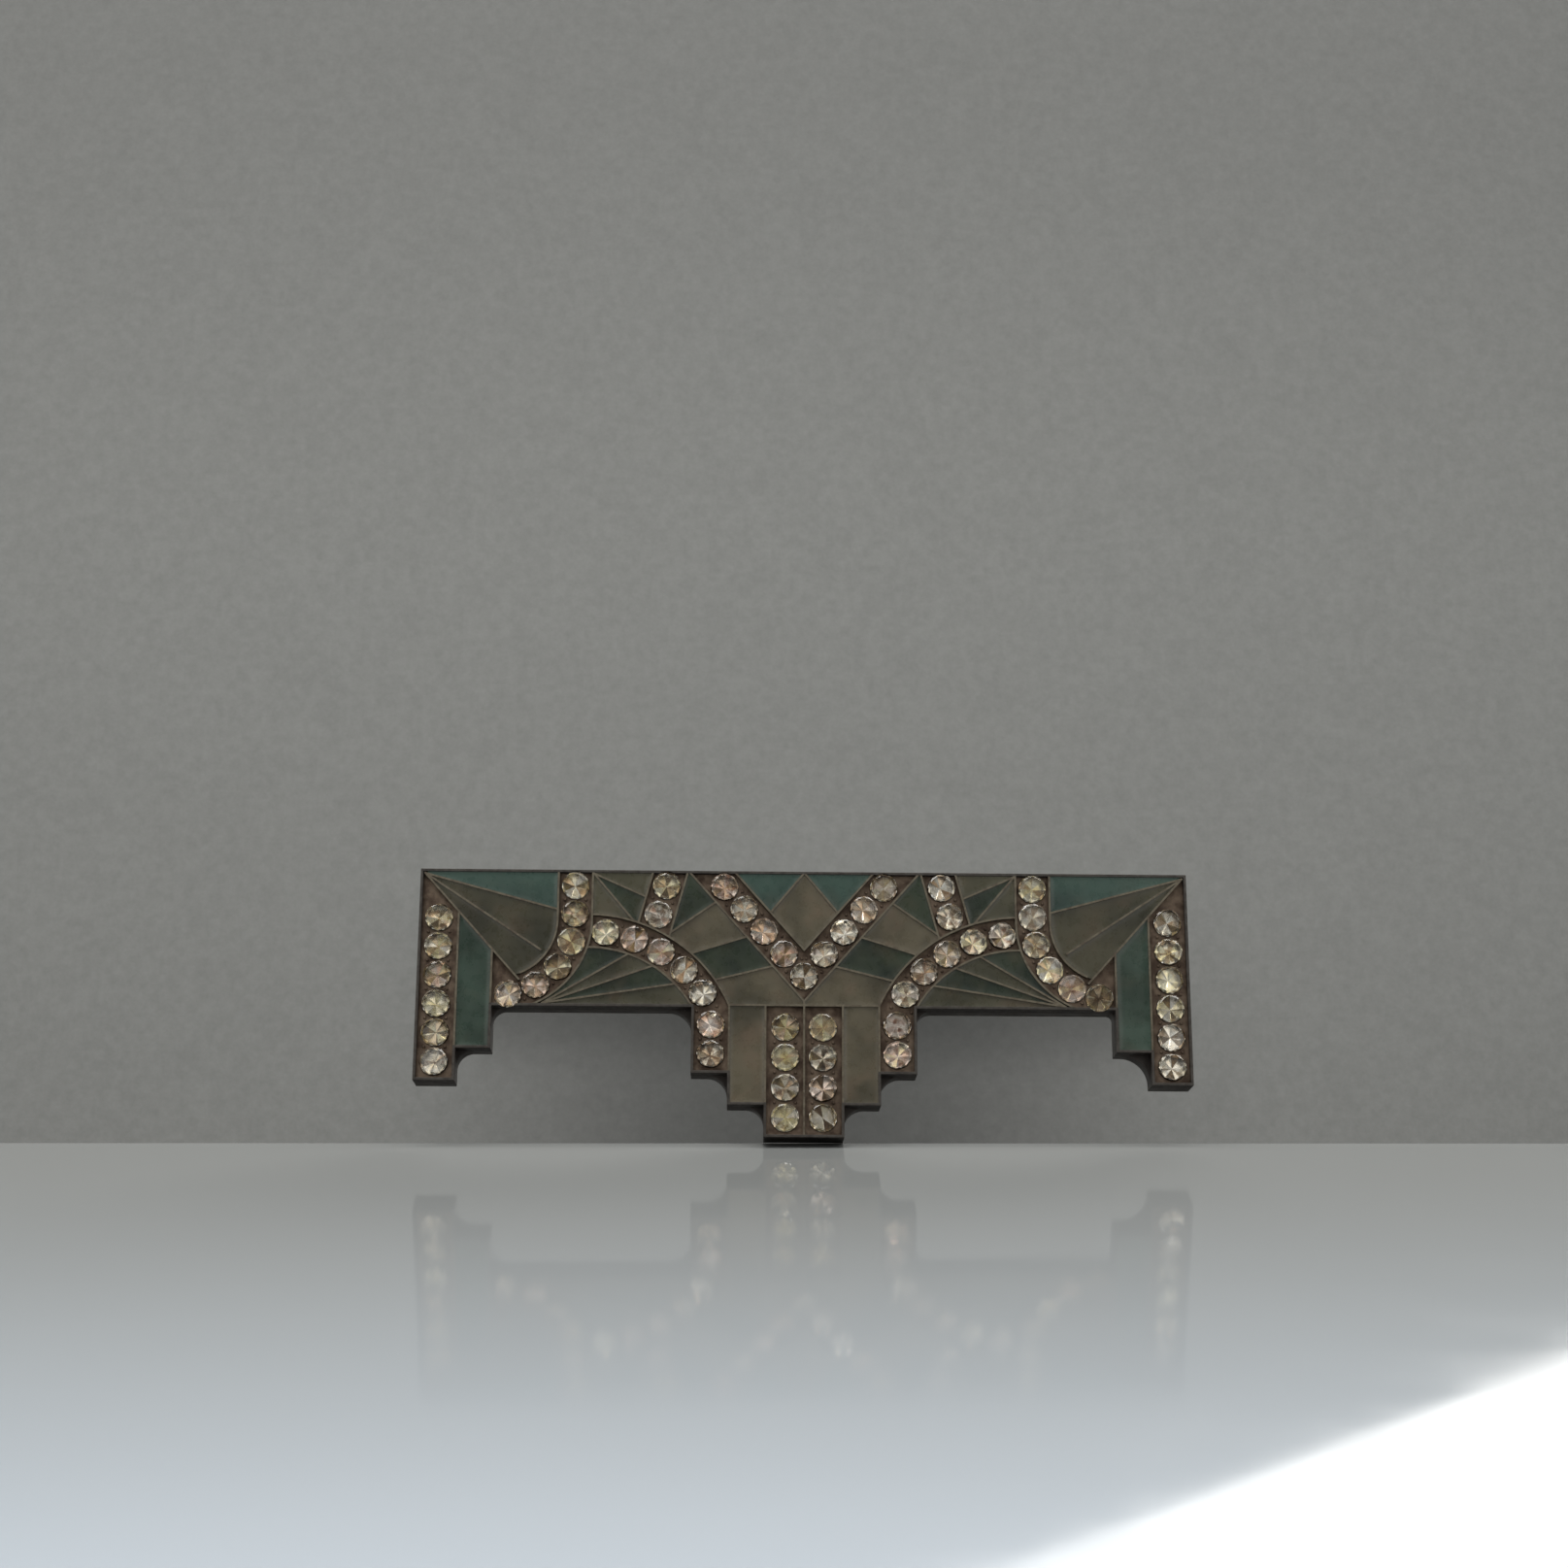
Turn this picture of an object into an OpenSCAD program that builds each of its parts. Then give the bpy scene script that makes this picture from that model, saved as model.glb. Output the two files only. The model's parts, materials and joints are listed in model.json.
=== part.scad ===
// A stepped bar brooch: enamel cells and rows of foiled paste stones in a plated setting,
// with a swinging pin and a turning safety catch on its back.
// X runs along the bar, Z up and Y through the thickness. The front faces -Y.
// The origin is on the back face, halfway along, on the line of the pin.

/* [Outline] */
// Half of the length of the bar
half_length = 32; // [31.8:0.1:32.6]
// Depth of the bar, from its top edge down
bar_depth = 11.6; // [11.5:0.1:11.8]
// Inner edge of each end leg
leg_inner = 28.6; // [28.4:0.1:28.7]
// Depth of each end leg
leg_depth = 17.85; // [17.8:0.05:18.4]
// Inner edge of each enamel panel beside a leg
panel_inner = 25.75; // [25.6:0.05:25.8]
// Depth of each enamel panel beside a leg
panel_depth = 15.15; // [14.5:0.05:15.5]
// Outer edge of each foot column
foot_outer = 9.3; // [9.2:0.05:9.4]
// Depth of each foot column
foot_depth = 17.1; // [17:0.05:17.5]
// Outer edge of each side panel
side_outer = 6.3; // [6.25:0.05:6.35]
// Depth of each side panel
side_depth = 19.7; // [19.5:0.05:20]
// Half width of the centre tab
tab_half = 3.3; // [3.2:0.05:3.4]
// Depth of the centre tab
tab_depth = 22.35; // [22.3:0.05:22.9]

/* [Layers] */
// Thickness of the back plate
plate_t = 1.6; // [1.4:0.1:1.8]
// Height of the stone beds above the plate
bed_t = 0.85; // [0.8:0.05:0.9]
// Height of the enamel above the plate
enamel_t = 1.15; // [0.9:0.05:1.2]
// Height of the rim and the walls above the plate
wall_t = 1.3; // [1.25:0.05:1.5]
// Width of the rim
rim_w = 0.22; // [0.2:0.02:0.3]
// Width of each wall between cells
wire_w = 0.16; // [0.14:0.01:0.2]

/* [Stones] */
// Diameter of a stone
stone_d = 2.3; // [2.2:0.05:2.3]
// Distance between neighbouring stones in a straight row
pitch = 2.43; // [2.4:0.01:2.45]
// Height of a stone above its girdle
crown_h = 0.42; // [0.3:0.02:0.5]
// Width of a stone's table as a share of its diameter
table_share = 0.5; // [0.4:0.05:0.6]
// Gap of cement around each stone
cement = 0.03; // [0.02:0.01:0.04]

/* [Pin and catch] */
// Distance of the pin below the top edge
pin_drop = 4.5; // [4:0.1:7]
// Distance of the pin's axis behind the back face
pin_out = 2.6; // [2.5:0.05:2.8]
// Radius of the pin's shank
pin_r = 0.4; // [0.35:0.05:0.45]
// Place of the hinge along the bar
hinge_x = -23; // [-24:0.5:-20]
// Place of the catch along the bar
catch_x = 22; // [19:0.5:23]
// Running clearance of the hinge and of the safety barrel
running_gap = 0.05; // [0.03:0.01:0.08]

/* [Hidden] */
$fn = 64;
stone_r = stone_d / 2;
seat_r = stone_r + cement;
culet_r = 0.1;
girdle_t = 0.06;
overrun = 2; // how far a cutting shape runs past what it cuts
lap = 0.3; // how far neighbouring parts of one shape run into each other

METAL = "dimgray";
OLIVE = "olivedrab";
GREEN = "seagreen";
TEAL = "teal";
PASTE = "wheat";
STEEL = "silver";

// Lines of the design on the right half, as [x, height below the top edge as a negative].
// Centres of the upright walls that carry on from the rim.
leg_wall = leg_inner + rim_w / 2;
panel_wall = panel_inner + rim_w / 2;
foot_wall = foot_outer - rim_w / 2;
side_wall = side_outer - rim_w / 2;
tab_wall = tab_half - rim_w / 2;
// Inner edges of the rim at the top and under the bar, and the wall across the middle.
rim_top = -rim_w;
bar_floor = rim_w - bar_depth;
cross_wall = -11.4;
// Curved column: a straight stretch, then a quarter turn outwards.
curve_turn = [25.4, -4.3];
curve_in = 4.9;
curve_out = 7.75;
curve_mid = (curve_in + curve_out) / 2;
curve_x = curve_turn[0] - curve_mid;
// Where the inner wall of the quarter turn stops, at the corner before the leg panel.
curve_stop = [23.5, -9.1];
// Arch from the curved column down to the foot column.
arch_turn = [17.9, -16.6];
arch_in = 10;
arch_out = 12.8;
arch_mid = (arch_in + arch_out) / 2;
arch_stop = 18.6;
foot_x = (side_wall + foot_wall) / 2;
// Small column between the top edge and the arch.
small_top = [11.15, 0];
small_lean = 15;
small_half = 1.4;
small_reach = 7;
// Vee: both arms fall to the middle at one slope.
vee_slope = 1.14;
vee_angle = atan(vee_slope);
vee_outer = -11.05;
vee_inner = -6.7;
vee_mid = (vee_outer + vee_inner) / 2;
vee_reach = 9.6;
// Right edge of the kite, from the top edge to its widest point.
KITE = [[0.1, rim_top], [2.8, -3.5]];
// Fans: each is an apex with the far ends of its wires.
FAN_A = [[half_length - rim_w - 0.16, rim_top - 0.16], [20.4, -3.42], [21.85, -6.85], [23.6, -9.35]];
FAN_B = [[curve_turn[0] - curve_out - 0.08, rim_top - 0.08], [13.1, -2.3], [14.2, -4.3]];
FAN_C = [[21.6, bar_floor + 0.03], [14.5, -7.1], [12.4, -8.1], [10.6, -9.65]];
RIBS_D = [[[7.35, -2.65], [11.1, -5.3]], [[4.75, -5.6], [9.5, -7.1]], [[2.6, -8.1], [7.4, -9.3]]];
// Hollow corners that the plate fills: x, height, radius on the left, radius on the right, and
// 1 where the corner opens outwards or -1 where it opens towards the middle.
FILLETS = [
  [leg_inner, -panel_depth, 1.4, 2.3, -1],
  [panel_inner, -bar_depth, 1.1, 0.5, -1],
  [foot_outer, -bar_depth, 1.9, 1.3, 1],
  [side_outer, -foot_depth, 1.7, 1.7, 1],
  [tab_half, -side_depth, 1.5, 1.7, 1]
];

// Hinge: two ears on a base hold a rivet, and the pin's eye turns on it.
base_half = 1.9;
base_t = 0.4;
base_sunk = 0.2;
ear_r = 1.15;
ear_t = 0.5;
ear_gap = 0.05;
eye_r = 1;
eye_half = 0.8;
rivet_r = 0.4;
rivet_head = 0.2;
rivet_head_r = 0.65;
ears_half = eye_half + ear_gap + ear_t;
// Pin: distances from the hinge's axis of the root, the straight shank, the taper and the tip.
root_r = 0.55;
root_from = 0.6;
root_to = 1.2;
shank_from = 2.5;
shank_to = 39;
taper_to = 43;
taper_r = 0.28;
tip_to = 47.5;
tip_r = 0.05;
// Catch: a slotted ring, open from one angle to another, round a slotted barrel with a knob.
housing_r = 1.7;
housing_half = 1.1;
open_from = 62;
open_to = 165;
barrel_r = 1.15;
barrel_bore = 0.55;
barrel_half = 1.45;
collar_r = 1.45;
slot_w = 1;
knob_angle = 150;
knob_reach = 2.25;
knob_r = 0.4;
knob_neck = 0.24;
web_half = 0.9;
web_lap = 0.2;
arc_steps = 6;

// Stones: where each row starts and how far apart its stones are.
leg_x = 30.35;
leg_first = -4.1;
top_first = 1.3; // first stone of the curved and small columns, below the top edge
curve_pitch = 2.4;
small_pitch = 2.55;
arch_first = 97; // angle of the arch's first stone
arch_step = 12.4; // angle between the arch's stones
foot_first = -13;
centre_x = 1.55;
centre_first = -13.2;
centre_pitch = 2.5;
vee_pitch = 2.52;

// Places of the stones on the right half.
leg_row = [for (i = [0:5]) [leg_x, leg_first - i * pitch]];
small_row = [for (i = [0:1]) column_point(top_first + i * small_pitch)];
centre_row = [for (i = [0:3]) [centre_x, centre_first - i * centre_pitch]];
vee_row = [for (i = [1:4]) [i * vee_pitch * cos(vee_angle), vee_mid + i * vee_pitch * sin(vee_angle)]];
curve_row = [for (i = [0:5]) curve_point(top_first + i * curve_pitch)];
arch_row = concat(
  [for (i = [0:4]) turn(arch_turn, arch_mid, arch_first + i * arch_step)],
  [for (i = [0:1]) [foot_x, foot_first - i * pitch]]
);

// Point at a radius and an angle about a centre.
function turn(c, r, a) = [c[0] + r * cos(a), c[1] + r * sin(a)];
// Point on the middle of the curved column, a distance along it from the top edge.
function curve_point(s) =
  s < -curve_turn[1]
    ? [curve_x, -s]
    : turn(curve_turn, curve_mid, 180 + (s + curve_turn[1]) / curve_mid * 180 / PI);
// Point on the middle of the small column, a distance along it from the top edge.
function column_point(s) = [small_top[0] + s * sin(small_lean), -s * cos(small_lean)];
// Point a distance past b on the line from a.
function past(a, b, far) = b + (b - a) / norm(b - a) * far;
// Height of the corner fan's last wire at a distance x from the middle.
function corner_line(x) =
  FAN_A[0][1] + (x - FAN_A[0][0]) * (FAN_A[3][1] - FAN_A[0][1]) / (FAN_A[3][0] - FAN_A[0][0]);
// Right half of the outline, moved in by d.
function half_outline(d) = [
  [half_length - d, -d],
  [half_length - d, d - leg_depth],
  [leg_inner + d, d - leg_depth],
  [leg_inner + d, d - panel_depth],
  [panel_inner + d, d - panel_depth],
  [panel_inner + d, d - bar_depth],
  [foot_outer - d, d - bar_depth],
  [foot_outer - d, d - foot_depth],
  [side_outer - d, d - foot_depth],
  [side_outer - d, d - side_depth],
  [tab_half - d, d - side_depth],
  [tab_half - d, d - tab_depth]
];
function flipped(pts) = [for (i = [len(pts) - 1:-1:0]) [-pts[i][0], pts[i][1]]];

// --- flat shapes, drawn on the front ---

module outline(d = 0) {
  polygon(concat(half_outline(d), flipped(half_outline(d))));
}

// The left half is the right half mirrored: side is -1 or 1.
module on_side(side) {
  if (side > 0) children();
  else mirror([1, 0]) children();
}

module stroke(a, b, w = wire_w) {
  translate(a)
    rotate(atan2(b[1] - a[1], b[0] - a[0]))
      translate([-w / 2, -w / 2])
        square([norm(b - a) + w, w]);
}

module ring(c, r, w = wire_w) {
  translate(c)
    difference() {
      circle(r + w / 2);
      circle(r - w / 2);
    }
}

// Part of a ring's width between two radii.
module band(c, inner, outer) {
  ring(c, (inner + outer) / 2, outer - inner);
}

module box2(a, b) {
  translate(a) square(b - a);
}

module leg_channel() {
  polygon([
    [half_length - rim_w, rim_top - 0.05],
    [half_length - rim_w, rim_w - leg_depth],
    [leg_wall, rim_w - leg_depth],
    [leg_wall, corner_line(leg_wall)],
    FAN_A[0]
  ]);
}

module curve_channel() {
  box2([curve_turn[0] - curve_out, curve_turn[1]], [curve_turn[0] - curve_in, rim_top]);
  intersection() {
    band(curve_turn, curve_in, curve_out);
    box2([curve_turn[0] - curve_out, bar_floor], [curve_stop[0] + lap, curve_turn[1]]);
  }
}

// Corner between the curved column's end and the leg panel, which holds the column's last stone.
module curve_end() {
  polygon([
    [panel_wall, corner_line(panel_wall)], [panel_wall, bar_floor],
    [curve_stop[0] - lap, bar_floor], [curve_stop[0] - lap, curve_stop[1]], FAN_A[3]
  ]);
}

// The curved column and everything outside it, where the arch ends.
module curve_side() {
  translate(curve_turn) circle(curve_out);
  box2([curve_turn[0] - curve_out, curve_turn[1] - lap], [half_length, 0]);
}

module arch_channel() {
  difference() {
    intersection() {
      band(arch_turn, arch_in, arch_out);
      box2([0, cross_wall], [arch_stop, 0]);
    }
    curve_side();
  }
  box2([side_wall, rim_w - foot_depth], [foot_outer - rim_w, cross_wall]);
}

module small_channel() {
  difference() {
    translate(small_top)
      rotate(small_lean)
        box2([-small_half, -small_reach], [small_half, overrun]);
    box2([0, rim_top], [half_length, 2 * overrun]);
    translate(arch_turn) circle(arch_out);
  }
}

module vee_channel() {
  rise = vee_slope * vee_reach;
  difference() {
    polygon([
      [0, vee_outer], [vee_reach, vee_outer + rise], [vee_reach, vee_inner + rise],
      [0, vee_inner], [-vee_reach, vee_inner + rise], [-vee_reach, vee_outer + rise]
    ]);
    box2([-half_length, rim_top], [half_length, 3 * overrun]);
  }
}

module centre_channel() {
  box2([-tab_wall, rim_w - tab_depth], [tab_wall, cross_wall]);
}

module side_channels() {
  leg_channel();
  curve_channel();
  curve_end();
  arch_channel();
  small_channel();
}

module rim_shape() {
  difference() {
    outline();
    outline(rim_w);
  }
}

// Walls along the stone channels of one half.
module channel_lines() {
  stroke([leg_wall, corner_line(leg_wall)], [leg_wall, -panel_depth]);
  stroke([panel_wall, corner_line(panel_wall)], [panel_wall, -bar_depth]);
  stroke([curve_turn[0] - curve_in, rim_top], [curve_turn[0] - curve_in, curve_turn[1]]);
  stroke([curve_turn[0] - curve_out, rim_top], [curve_turn[0] - curve_out, curve_turn[1]]);
  intersection() {
    ring(curve_turn, curve_in);
    box2([foot_outer, curve_stop[1]], [curve_stop[0], curve_turn[1]]);
  }
  intersection() {
    ring(curve_turn, curve_out);
    box2([foot_outer, -bar_depth], [curve_stop[0], curve_turn[1]]);
  }
  difference() {
    intersection() {
      union() {
        ring(arch_turn, arch_in);
        ring(arch_turn, arch_out);
      }
      box2([0, cross_wall - wire_w / 2], [arch_stop, 0]);
    }
    curve_side();
  }
  stroke([side_wall, -foot_depth], [side_wall, cross_wall]);
  stroke([tab_wall, -side_depth], [tab_wall, cross_wall]);
  stroke([0, cross_wall], [side_wall, cross_wall]);
  stroke([0, -tab_depth], [0, vee_outer]);
  difference() {
    translate(small_top)
      rotate(small_lean)
        for (x = [-small_half, small_half]) stroke([x, -small_reach], [x, overrun]);
    translate(arch_turn) circle(arch_out);
  }
  for (z = [vee_inner, vee_outer])
    stroke([0, z], [vee_reach, z + vee_slope * vee_reach]);
}

// Walls of one half with the rim taken away, kept to that half.
module half_walls() {
  intersection() {
    channel_lines();
    outline(rim_w);
    box2([0, -tab_depth], [half_length, 0]);
  }
}

module fan_lines() {
  for (fan = [FAN_A, FAN_B, FAN_C])
    for (i = [1:len(fan) - 1]) stroke(fan[0], fan[i]);
  for (rib = RIBS_D) stroke(rib[0], rib[1]);
  stroke(KITE[0], KITE[1]);
}

// The outermost wire of the corner fan, which is also the wall of the leg channel.
module corner_wire() {
  stroke(FAN_A[0], FAN_A[3]);
}

// Everything on one half that enamel can't cover.
module not_enamel() {
  half_walls();
  fan_lines();
  side_channels();
  vee_channel();
}

// A cell: a rough outline, less the walls and channels that bound it.
module cell(pts) {
  difference() {
    intersection() {
      polygon(pts);
      outline(rim_w);
    }
    not_enamel();
  }
}

// A cell between wires i and i + 1 of a fan.
module fan_cell(fan, i) {
  cell([fan[0], past(fan[0], fan[i], 1), past(fan[0], fan[i + 1], 1)]);
}

// --- solids ---

// Solid layer between two depths from the back face.
module layer(from, thick) {
  translate([0, 0, pin_drop])
    rotate([90, 0, 0])
      translate([0, 0, from])
        linear_extrude(height = thick)
          children();
}

// Turned shapes at the places of the stones, standing out from the plate.
module at_stones(places) {
  for (p = places)
    translate([p[0], -plate_t, p[1] + pin_drop])
      rotate([90, 0, 0])
        children();
}

module stone() {
  rotate_extrude()
    polygon([
      [0, 0], [culet_r, 0], [stone_r, bed_t - girdle_t], [stone_r, bed_t],
      [stone_r * table_share, bed_t + crown_h], [0, bed_t + crown_h]
    ]);
}

module seat() {
  rotate_extrude()
    polygon([
      [0, 0], [culet_r + cement, 0], [seat_r, bed_t - girdle_t],
      [seat_r, wall_t + 1], [0, wall_t + 1]
    ]);
}

function sided(places, side) = [for (p = places) [side * p[0], p[1]]];

module stones(places) {
  color(PASTE) at_stones(places) stone();
}

module bed(places) {
  color(METAL)
    difference() {
      union()
        for (i = [0:$children - 1]) layer(plate_t, bed_t) children(i);
      at_stones(places) seat();
    }
}

// A bed's outline on one half, less the walls beside it.
module bed_shape(side) {
  on_side(side)
    difference() {
      intersection() {
        children();
        outline(rim_w);
      }
      half_walls();
      corner_wire();
    }
}

module enamel(side, tint) {
  color(tint) layer(plate_t, enamel_t) on_side(side) children();
}

module back_plate() {
  color(METAL)
    difference() {
      union() {
        layer(0, plate_t) outline();
        for (side = [-1, 1]) fillets(side);
      }
      base_block(hinge_x, base_sunk, overrun);
      base_block(catch_x, base_sunk, overrun);
    }
}

// Hollow corners on one side, each a square with a quarter circle taken out.
module fillets(side) {
  for (f = FILLETS) {
    r = side < 0 ? f[2] : f[3];
    layer(0, plate_t)
      on_side(side)
        translate([f[0], f[1]])
          difference() {
            box2([min(f[4] * r, -0.1 * f[4]), -r], [max(f[4] * r, -0.1 * f[4]), 0.1]);
            translate([f[4] * r, -r]) circle(r);
          }
  }
}

module rim() {
  color(METAL)
    difference() {
      layer(plate_t, wall_t) rim_shape();
      for (side = [-1, 1])
        for (places = [curve_row, small_row, vee_row]) at_stones(sided(places, side)) seat();
    }
}

module channel_walls(side) {
  color(METAL) layer(plate_t, wall_t) on_side(side) half_walls();
}

module fan_wires(side) {
  color(METAL)
    layer(plate_t, wall_t)
      on_side(side)
        difference() {
          intersection() {
            fan_lines();
            outline(rim_w);
            box2([0, -tab_depth], [half_length, 0]);
          }
          half_walls();
          difference() {
            side_channels();
            corner_wire();
          }
          vee_channel();
        }
}

module leg_bed(side) {
  bed(sided(leg_row, side)) bed_shape(side) leg_channel();
}

module curve_bed(side) {
  bed(sided(curve_row, side)) {
    bed_shape(side) curve_channel();
    bed_shape(side) curve_end();
  }
}

module arch_bed(side) {
  bed(sided(arch_row, side)) bed_shape(side) arch_channel();
}

module small_bed(side) {
  bed(sided(small_row, side)) bed_shape(side) small_channel();
}

module vee_bed() {
  bed(concat([[0, vee_mid]], vee_row, sided(vee_row, -1)))
    difference() {
      vee_channel();
      for (side = [-1, 1]) on_side(side) half_walls();
    }
}

module centre_bed() {
  bed(concat(centre_row, sided(centre_row, -1)))
    difference() {
      intersection() {
        centre_channel();
        outline(rim_w);
      }
      for (side = [-1, 1]) on_side(side) half_walls();
    }
}

module leg_stones(side) stones(sided(leg_row, side));
module curve_stones(side) stones(sided(curve_row, side));
module arch_stones(side) stones(sided(arch_row, side));
module small_stones(side) stones(sided(small_row, side));
module vee_stones() stones(concat([[0, vee_mid]], vee_row, sided(vee_row, -1)));
module centre_stones(side) stones(sided(centre_row, side));

module corner_teal(side) {
  enamel(side, TEAL) cell([FAN_A[0], [31, 0], [20, 0], past(FAN_A[0], FAN_A[1], 1)]);
}

module corner_olive(side) {
  enamel(side, OLIVE) {
    fan_cell(FAN_A, 1);
    fan_cell(FAN_A, 2);
  }
}

module leg_green(side) {
  enamel(side, GREEN)
    cell([
      [leg_wall, corner_line(leg_wall)], [panel_wall, corner_line(panel_wall)],
      [panel_wall, -panel_depth], [leg_wall, -panel_depth]
    ]);
}

module upper_olive(side) {
  enamel(side, OLIVE) {
    cell([FAN_B[0], [17.6, 0], [12, 0], past(FAN_B[0], FAN_B[1], 1)]);
    cell([FAN_B[0], past(FAN_B[0], FAN_B[2], 1), [17.65, -5.2], [17.65, -0.4]]);
  }
}

module upper_green(side) {
  enamel(side, GREEN) fan_cell(FAN_B, 1);
}

module lower_olive(side) {
  enamel(side, OLIVE) {
    fan_cell(FAN_C, 1);
    cell([FAN_C[0], past(FAN_C[0], FAN_C[3], 1), [9.3, bar_floor - 0.1], [21, bar_floor - 0.1]]);
  }
}

module lower_green(side) {
  enamel(side, GREEN) {
    cell([FAN_C[0], past(FAN_C[0], FAN_C[1], 1), [17.6, -5.9]]);
    fan_cell(FAN_C, 2);
  }
}

module inner_olive(side) {
  enamel(side, OLIVE) {
    cell([RIBS_D[0][0], RIBS_D[0][1], [11.2, -6.2],
          past(RIBS_D[1][0], RIBS_D[1][1], 0.5), RIBS_D[1][0]]);
    cell([RIBS_D[2][0], past(RIBS_D[2][0], RIBS_D[2][1], 0.5), [6.5, cross_wall],
          [0, cross_wall], [0, vee_outer]]);
  }
}

module inner_green(side) {
  enamel(side, GREEN) {
    cell([RIBS_D[0][0], RIBS_D[0][1], [10.5, 0], [9.5, 0]]);
    cell([RIBS_D[1][0], past(RIBS_D[1][0], RIBS_D[1][1], 0.5), [8.6, -8.6],
          past(RIBS_D[2][0], RIBS_D[2][1], 0.5), RIBS_D[2][0]]);
  }
}

module top_teal(side) {
  enamel(side, TEAL) cell([KITE[0], [6, 0], past(KITE[0], KITE[1], 0.05)]);
}

module side_olive(side) {
  enamel(side, OLIVE)
    cell([
      [tab_wall, cross_wall], [side_wall, cross_wall],
      [side_wall, -side_depth], [tab_wall, -side_depth]
    ]);
}

module kite_olive() {
  color(OLIVE)
    layer(plate_t, enamel_t)
      difference() {
        polygon([[0, rim_top], KITE[1], [0, vee_inner], [-KITE[1][0], KITE[1][1]]]);
        kite_walls();
      }
}

// Walls around the kite, from both halves.
module kite_walls() {
  for (side = [-1, 1])
    on_side(side) {
      half_walls();
      fan_lines();
    }
  vee_channel();
}

// --- pin and catch on the back ---

// Square foot of a finding, from a depth inside the plate to a height behind its back face.
module base_block(x, sunk, height) {
  translate([x - base_half, -sunk, -base_half])
    cube([2 * base_half, sunk + height, 2 * base_half]);
}

module hinge_base() {
  color(STEEL)
    difference() {
      union() {
        base_block(hinge_x, base_sunk, base_t);
        for (z = [-ears_half, ears_half - ear_t]) {
          translate([hinge_x, pin_out, z]) cylinder(r = ear_r, h = ear_t);
          translate([hinge_x - ear_r, 0, z]) cube([2 * ear_r, pin_out, ear_t]);
        }
      }
      rivet_bore(rivet_r);
    }
}

// Cutting cylinder on the hinge's axis.
module rivet_bore(r) {
  translate([hinge_x, pin_out, -overrun]) cylinder(r = r, h = 2 * overrun);
}

module hinge_rivet() {
  color(STEEL)
    translate([hinge_x, pin_out, 0]) {
      translate([0, 0, -ears_half]) cylinder(r = rivet_r, h = 2 * ears_half);
      for (z = [-ears_half - rivet_head, ears_half])
        translate([0, 0, z]) cylinder(r = rivet_head_r, h = rivet_head);
    }
}

module pin_stem() {
  color(STEEL)
    difference() {
      translate([hinge_x, pin_out, 0]) {
        translate([0, 0, -eye_half]) cylinder(r = eye_r, h = 2 * eye_half);
        rotate([0, 90, 0])
          rotate_extrude()
            polygon([
              [0, root_from], [root_r, root_from], [root_r, root_to], [pin_r, shank_from],
              [pin_r, shank_to], [taper_r, taper_to], [tip_r, tip_to], [0, tip_to]
            ]);
      }
      rivet_bore(rivet_r + running_gap);
    }
}

// A pie slice of the catch's cross-section. Angles run from +Z towards +Y.
module slice(from, to, r) {
  step = (to - from) / arc_steps;
  arc = [for (i = [0:arc_steps]) [r * sin(from + i * step), r * cos(from + i * step)]];
  polygon(concat([[0, 0]], arc));
}

// Stands a cross-section up along X: its x becomes Y, and its y becomes Z.
module along_x(half) {
  translate([catch_x - half, pin_out, 0])
    rotate([90, 0, 90])
      linear_extrude(height = 2 * half)
        children();
}

module catch_base() {
  color(STEEL)
    difference() {
      union() {
        base_block(catch_x, base_sunk, base_t);
        translate([catch_x - housing_half, 0, -web_half])
          cube([2 * housing_half, pin_out - barrel_r - web_lap, 2 * web_half]);
        along_x(housing_half) circle(housing_r);
      }
      along_x(housing_half + overrun) circle(barrel_r + running_gap);
      along_x(housing_half + overrun) slice(open_from, open_to, 2 * housing_r);
    }
}

module safety_barrel() {
  collar_t = barrel_half - housing_half - running_gap;
  neck_from = barrel_bore + web_lap;
  color(STEEL)
    difference() {
      union() {
        along_x(barrel_half) circle(barrel_r);
        for (end = [-1, 1])
          translate([end * (barrel_half - collar_t / 2), 0, 0])
            along_x(collar_t / 2) circle(collar_r);
        translate([catch_x, pin_out, 0])
          rotate([-knob_angle, 0, 0]) {
            translate([0, 0, neck_from]) cylinder(r = knob_neck, h = knob_reach - neck_from);
            translate([0, 0, knob_reach]) sphere(r = knob_r);
          }
      }
      along_x(barrel_half + overrun) circle(barrel_bore);
      along_x(barrel_half + overrun)
        translate([0, -slot_w / 2]) square([2 * barrel_r, slot_w]);
    }
}

back_plate();
rim();
channel_walls(-1);  // channel_walls_left
channel_walls(1);  // channel_walls_right
fan_wires(-1);  // fan_wires_left
fan_wires(1);  // fan_wires_right
leg_bed(-1);  // leg_bed_left
leg_bed(1);  // leg_bed_right
curve_bed(-1);  // curve_bed_left
curve_bed(1);  // curve_bed_right
arch_bed(-1);  // arch_bed_left
arch_bed(1);  // arch_bed_right
small_bed(-1);  // small_bed_left
small_bed(1);  // small_bed_right
vee_bed();
centre_bed();
leg_stones(-1);  // leg_stones_left
leg_stones(1);  // leg_stones_right
curve_stones(-1);  // curve_stones_left
curve_stones(1);  // curve_stones_right
arch_stones(-1);  // arch_stones_left
arch_stones(1);  // arch_stones_right
small_stones(-1);  // small_stones_left
small_stones(1);  // small_stones_right
vee_stones();
centre_stones(-1);  // centre_stones_left
centre_stones(1);  // centre_stones_right
corner_teal(-1);  // corner_teal_left
corner_teal(1);  // corner_teal_right
corner_olive(-1);  // corner_olive_left
corner_olive(1);  // corner_olive_right
leg_green(-1);  // leg_green_left
leg_green(1);  // leg_green_right
upper_olive(-1);  // upper_olive_left
upper_olive(1);  // upper_olive_right
upper_green(-1);  // upper_green_left
upper_green(1);  // upper_green_right
lower_olive(-1);  // lower_olive_left
lower_olive(1);  // lower_olive_right
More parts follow.
